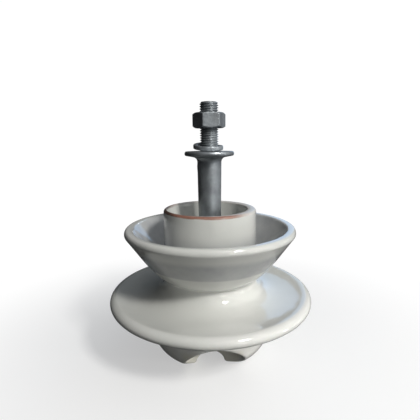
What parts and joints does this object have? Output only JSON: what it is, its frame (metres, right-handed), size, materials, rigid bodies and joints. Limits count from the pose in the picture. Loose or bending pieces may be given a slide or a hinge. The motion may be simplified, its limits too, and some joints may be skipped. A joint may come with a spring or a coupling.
{
  "type": "pin insulator",
  "caption": "Glazed porcelain pin insulator with a wide and a conical shed, standing on its crown, with a galvanised screw-in spindle, collar, spring washer and nut.",
  "frame": {"origin": "on the axis, at the level of the two crown horns that it stands on", "axes": "+Z along the spindle towards the stud's end, +Y along the conductor groove"},
  "size_m": [0.228, 0.228, 0.2836],
  "materials": {
    "glazed_porcelain": "glossy pale grey glaze, unglazed red-brown petticoat rim",
    "cement": "matte",
    "zinc": "cast zinc",
    "felt": "matte felt",
    "lead": "dull cast lead",
    "galvanised_spindle": "dull hot-dip galvanised",
    "galvanised_washer": "dull hot-dip galvanised",
    "galvanised_nut": "dark dull galvanised"
  },
  "bodies": {
    "insulator": {"porcelain_body": "glazed_porcelain", "thimble_cement": "cement", "zinc_thimble": "zinc", "cushion_disc": "felt"},
    "spindle": {"spindle": "galvanised_spindle", "lead_head": "lead"},
    "washer": {"spring_washer": "galvanised_washer"},
    "nut": {"hex_nut": "galvanised_nut"}
  },
  "joints": [
    {"name": "spindle_unscrew", "type": "slide", "parent": "insulator", "child": "spindle", "axis": [0, 0, 1], "range_m": [0, 0.052]},
    {"name": "nut_travel", "type": "slide", "parent": "spindle", "child": "nut", "axis": [0, 0, 1], "range_m": [-0.0139, 0.0275]},
    {"name": "washer_spin", "type": "hinge", "parent": "spindle", "child": "washer", "pos_m": [0, 0, 0.236], "axis": [0, 0, 1], "continuous": true}
  ]
}
